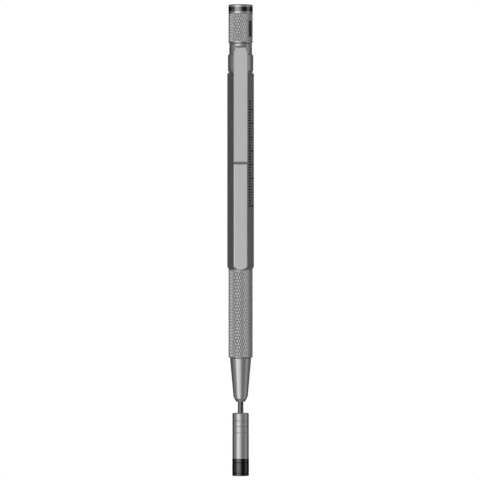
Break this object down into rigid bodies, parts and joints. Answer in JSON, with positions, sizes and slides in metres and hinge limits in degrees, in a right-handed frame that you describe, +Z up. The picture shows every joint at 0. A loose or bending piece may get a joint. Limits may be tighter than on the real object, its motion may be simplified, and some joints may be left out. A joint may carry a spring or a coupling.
{
  "type": "clutch drafting pencil",
  "caption": "Hexagonal metal clutch pencil with knurled grip and push cap, pocket clip, sprung split jaws, a thick lead and a rotary lead pointer fitted on its point.",
  "frame": {"origin": "on the pencil's axis at the bottom face of the pointer's dust cup", "axes": "+Z up the axis towards the push cap, -Y out through the clip, +X to the right when the clip is seen from the front"},
  "size_m": [0.0098, 0.01, 0.1716],
  "materials": {
    "satin_steel": "satin nickel-plated metal",
    "knurled_steel": "satin, diamond knurl",
    "polished_steel": "polished plate",
    "jaw_metal": "plated brass",
    "brass": "machined",
    "spring_wire": "drawn wire",
    "blade_steel": "ground",
    "black_gloss": "gloss",
    "black_plate": "black mirror plate",
    "black_enamel": "enamel fill",
    "inner_plastic": "acetal",
    "graphite": "satin graphite",
    "seal_rubber": "matt"
  },
  "bodies": {
    "barrel_body": {"barrel": "satin_steel", "scale_marks": "black_enamel", "upper_barrel": "polished_steel", "clip_ring": "polished_steel", "top_bush": "polished_steel", "core_tube": "brass", "grip": "knurled_steel", "nose_cone": "polished_steel", "spring_washer": "brass", "spring": "spring_wire"},
    "clip": {"clip_arm": "satin_steel"},
    "push_rod": {"lead_tube": "brass", "collet_body": "brass", "spring_collar": "brass"},
    "jaw_1": {"jaw_1": "jaw_metal"},
    "jaw_2": {"jaw_2": "jaw_metal"},
    "jaw_3": {"jaw_3": "jaw_metal"},
    "push_cap": {"cap_shell": "knurled_steel", "cap_index": "black_enamel", "cap_bush": "inner_plastic", "cap_trim_collar": "polished_steel", "cap_black_ring": "black_plate", "cap_crown": "polished_steel"},
    "lead": {"lead": "graphite"},
    "pointer_collar": {"pointer_collar": "polished_steel", "pointer_bush": "inner_plastic"},
    "cutter": {"cutter_housing": "polished_steel", "retaining_ring": "spring_wire", "cutter_insert": "brass", "cutter_blade": "blade_steel", "blade_screw": "brass", "seal_ring": "seal_rubber"},
    "dust_cup": {"dust_cup": "black_gloss"}
  },
  "joints": [
    {"name": "push", "type": "slide", "parent": "barrel_body", "child": "push_rod", "axis": [0, 0, -1], "range_m": [0, 0.0011], "stiffness_N_per_m": 730, "springref_m": -0.004, "deforming": ["spring"]},
    {"name": "jaw_1_open", "type": "hinge", "parent": "push_rod", "child": "jaw_1", "pos_m": [0, -0.0016, 0.04], "axis": [-1, 0, 0], "range_deg": [0, 0.85]},
    {"name": "jaw_2_open", "type": "hinge", "parent": "push_rod", "child": "jaw_2", "pos_m": [0.00139, 0.0008, 0.04], "axis": [0.5, -0.866, 0], "range_deg": [0, 0.85]},
    {"name": "jaw_3_open", "type": "hinge", "parent": "push_rod", "child": "jaw_3", "pos_m": [-0.00139, 0.0008, 0.04], "axis": [0.5, 0.866, 0], "range_deg": [0, 0.85]},
    {"name": "clip_flex", "type": "hinge", "parent": "barrel_body", "child": "clip", "pos_m": [0, -0.00428, 0.1554], "axis": [-1, 0, 0], "range_deg": [0, 3], "stiffness_Nm_per_rad": 3, "springref_deg": -0.57},
    {"name": "cap_pull", "type": "slide", "parent": "push_rod", "child": "push_cap", "axis": [0, 0, 1], "range_m": [0, 0.014]},
    {"name": "lead_feed", "type": "slide", "parent": "push_rod", "child": "lead", "axis": [0, 0, -1], "range_m": [-0.0035, 0.1]},
    {"name": "pointer_pull", "type": "slide", "parent": "lead", "child": "pointer_collar", "axis": [0, 0, -1], "range_m": [0, 0.02]},
    {"name": "pointer_spin", "type": "hinge", "parent": "pointer_collar", "child": "cutter", "pos_m": [0, 0, 0.0158], "axis": [0, 0, 1], "continuous": true},
    {"name": "dust_cup_pull", "type": "slide", "parent": "cutter", "child": "dust_cup", "axis": [0, 0, -1], "range_m": [0, 0.005]}
  ],
  "couplings": [
    {"joint": "jaw_1_open", "follows": "push", "rad_per_m": 12.5},
    {"joint": "jaw_2_open", "follows": "push", "rad_per_m": 12.5},
    {"joint": "jaw_3_open", "follows": "push", "rad_per_m": 12.5}
  ]
}
